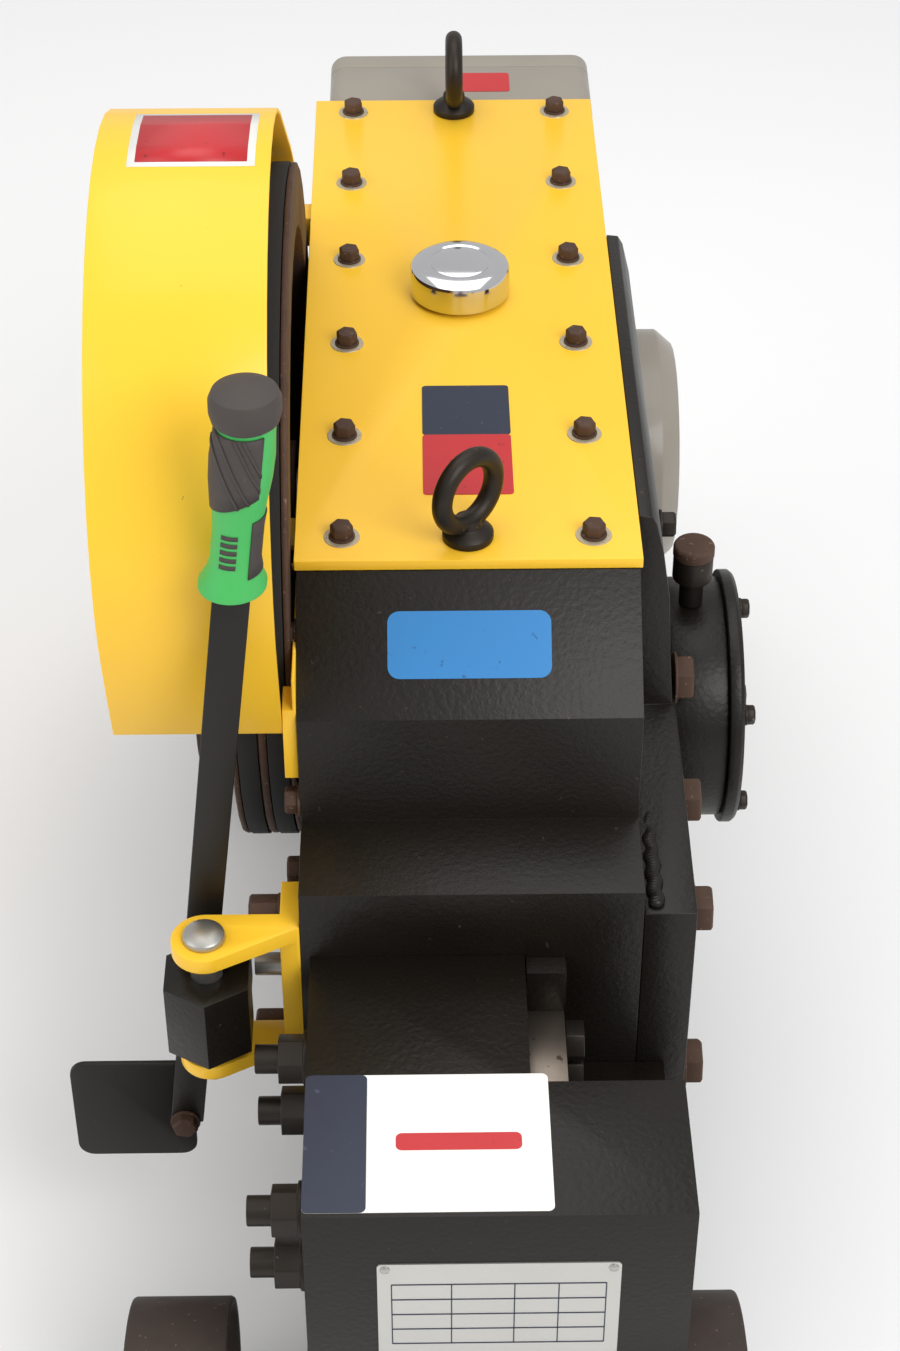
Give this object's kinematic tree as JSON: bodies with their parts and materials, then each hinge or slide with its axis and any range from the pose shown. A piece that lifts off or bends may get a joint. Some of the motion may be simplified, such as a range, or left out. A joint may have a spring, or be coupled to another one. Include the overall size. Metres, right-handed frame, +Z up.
{
  "type": "rebar cutter",
  "caption": "Electric rebar cutter: belt-driven gear housing, sliding cutter jaw in a front head, clutch lever, belt guard and wheeled base.",
  "frame": {"origin": "middle of the footprint, on the ground", "axes": "+X to the machine's right, +Y to the rear, +Z up; the cutting head is at -Y"},
  "size_m": [0.497, 1.175, 0.848],
  "materials": {
    "yellow_paint": "gloss",
    "black_paint": "satin paint",
    "black_steel": "satin",
    "rusty_steel": "rusty",
    "dark_steel": "oiled black",
    "tool_steel": "ground",
    "bright_steel": "bright",
    "chrome": "polished",
    "grey_paint": "satin",
    "grip_rubber": "matt",
    "belt_rubber": "matt",
    "fan_plastic": "moulded",
    "green_plastic": "moulded",
    "red_plastic": "moulded",
    "bronze": "machined"
  },
  "bodies": {
    "body": {"top_cover": "yellow_paint", "belt_guard": "yellow_paint", "guard_bracket_front": "yellow_paint", "guard_bracket_rear": "yellow_paint", "lever_bracket": "yellow_paint", "gear_housing": "black_paint", "side_plate_right": "black_paint", "crank_bearing_housing_right": "black_paint", "crank_end_cover_right": "black_paint", "crank_bearing_cover_left": "black_paint", "intermediate_cap_left": "black_paint", "input_bearing_cover_left": "black_paint", "front_head": "black_paint", "base_frame": "black_steel", "eye_bolt_front": "dark_steel", "eye_bolt_rear": "dark_steel", "grease_cup": "dark_steel", "head_stud_1": "dark_steel", "head_stud_2": "dark_steel", "head_stud_3": "dark_steel", "head_stud_4": "dark_steel", "front_axle": "dark_steel", "rear_axle": "dark_steel", "fixed_blade": "tool_steel", "lever_pin": "bright_steel", "motor": "grey_paint", "motor_fan_cowl": "grey_paint", "motor_terminal_box": "grey_paint", "control_box": "grey_paint", "control_box_lid": "grey_paint", "v_belt_1": "belt_rubber", "v_belt_2": "belt_rubber", "ram_guide": "bronze"},
    "oil_cap": {"oil_cap": "chrome"},
    "grease_cap": {"grease_cup_cap": "rusty_steel"},
    "flywheel": {"flywheel": "rusty_steel", "input_shaft": "tool_steel"},
    "motor_rotor": {"motor_shaft": "bright_steel", "motor_pulley": "dark_steel", "motor_fan": "fan_plastic"},
    "intermediate": {"intermediate_shaft": "tool_steel", "intermediate_gear": "tool_steel"},
    "crank": {"crankshaft": "tool_steel", "crank_gear": "tool_steel"},
    "rod": {"connecting_rod": "dark_steel"},
    "ram": {"ram": "black_paint", "moving_blade": "tool_steel", "blade_bolt_upper": "dark_steel", "blade_bolt_lower": "dark_steel"},
    "lever": {"lever_block": "black_paint", "lever_bar": "black_steel", "lever_grip": "grip_rubber", "lever_paddle": "black_steel"},
    "plunger": {"clutch_plunger": "bright_steel"},
    "start_button": {"start_button": "green_plastic"},
    "stop_button": {"stop_button": "red_plastic"},
    "wheel_front_left": {"wheel_front_left": "rusty_steel"},
    "wheel_front_right": {"wheel_front_right": "rusty_steel"},
    "wheel_rear_left": {"wheel_rear_left": "rusty_steel"},
    "wheel_rear_right": {"wheel_rear_right": "rusty_steel"}
  },
  "joints": [
    {"name": "flywheel_spin", "type": "hinge", "parent": "body", "child": "flywheel", "pos_m": [-0.0985, 0.0355, 0.501], "axis": [1, 0, 0], "continuous": true},
    {"name": "motor_spin", "type": "hinge", "parent": "body", "child": "motor_rotor", "pos_m": [0.0415, 0.4675, 0.248], "axis": [1, 0, 0], "continuous": true},
    {"name": "intermediate_spin", "type": "hinge", "parent": "body", "child": "intermediate", "pos_m": [0.0415, 0.13069, 0.40669], "axis": [1, 0, 0], "continuous": true},
    {"name": "crank_spin", "type": "hinge", "parent": "body", "child": "crank", "pos_m": [0.0415, -0.0225, 0.354], "axis": [1, 0, 0], "continuous": true},
    {"name": "rod_pivot", "type": "hinge", "parent": "crank", "child": "rod", "pos_m": [0.0555, 0.0005, 0.354], "axis": [1, 0, 0], "continuous": true},
    {"name": "ram_slide", "type": "slide", "parent": "body", "child": "ram", "axis": [0, -1, 0], "range_m": [0, 0.046]},
    {"name": "lever_swing", "type": "hinge", "parent": "body", "child": "lever", "pos_m": [-0.1385, -0.3305, 0.34], "axis": [0, 0, -1], "range_deg": [0, 25]},
    {"name": "plunger_slide", "type": "slide", "parent": "body", "child": "plunger", "axis": [1, 0, 0], "range_m": [0, 0.017]},
    {"name": "oil_cap_turn", "type": "hinge", "parent": "body", "child": "oil_cap", "pos_m": [0.0415, 0.1675, 0.615], "axis": [0, 0, 1], "range_deg": [0, 90]},
    {"name": "grease_cap_turn", "type": "hinge", "parent": "body", "child": "grease_cap", "pos_m": [0.2115, -0.0225, 0.495], "axis": [0, 0, 1], "range_deg": [0, 360]},
    {"name": "start_button_press", "type": "slide", "parent": "body", "child": "start_button", "axis": [0, -1, 0], "range_m": [0, 0.003], "stiffness_N_per_m": 300},
    {"name": "stop_button_press", "type": "slide", "parent": "body", "child": "stop_button", "axis": [0, -1, 0], "range_m": [0, 0.003], "stiffness_N_per_m": 300},
    {"name": "wheel_front_left_spin", "type": "hinge", "parent": "body", "child": "wheel_front_left", "pos_m": [-0.1615, -0.4975, 0.09], "axis": [1, 0, 0], "continuous": true},
    {"name": "wheel_front_right_spin", "type": "hinge", "parent": "body", "child": "wheel_front_right", "pos_m": [0.1905, -0.4975, 0.09], "axis": [1, 0, 0], "continuous": true},
    {"name": "wheel_rear_left_spin", "type": "hinge", "parent": "body", "child": "wheel_rear_left", "pos_m": [-0.1615, 0.3395, 0.09], "axis": [1, 0, 0], "continuous": true},
    {"name": "wheel_rear_right_spin", "type": "hinge", "parent": "body", "child": "wheel_rear_right", "pos_m": [0.1905, 0.3395, 0.09], "axis": [1, 0, 0], "continuous": true}
  ],
  "couplings": [
    {"joint": "motor_spin", "follows": "flywheel_spin", "ratio": 5.0833},
    {"joint": "intermediate_spin", "follows": "flywheel_spin", "ratio": -0.34},
    {"joint": "crank_spin", "follows": "flywheel_spin", "ratio": 0.119},
    {"joint": "rod_pivot", "follows": "flywheel_spin", "ratio": -0.119},
    {"joint": "plunger_slide", "follows": "lever_swing", "m_per_rad": 0.038}
  ]
}
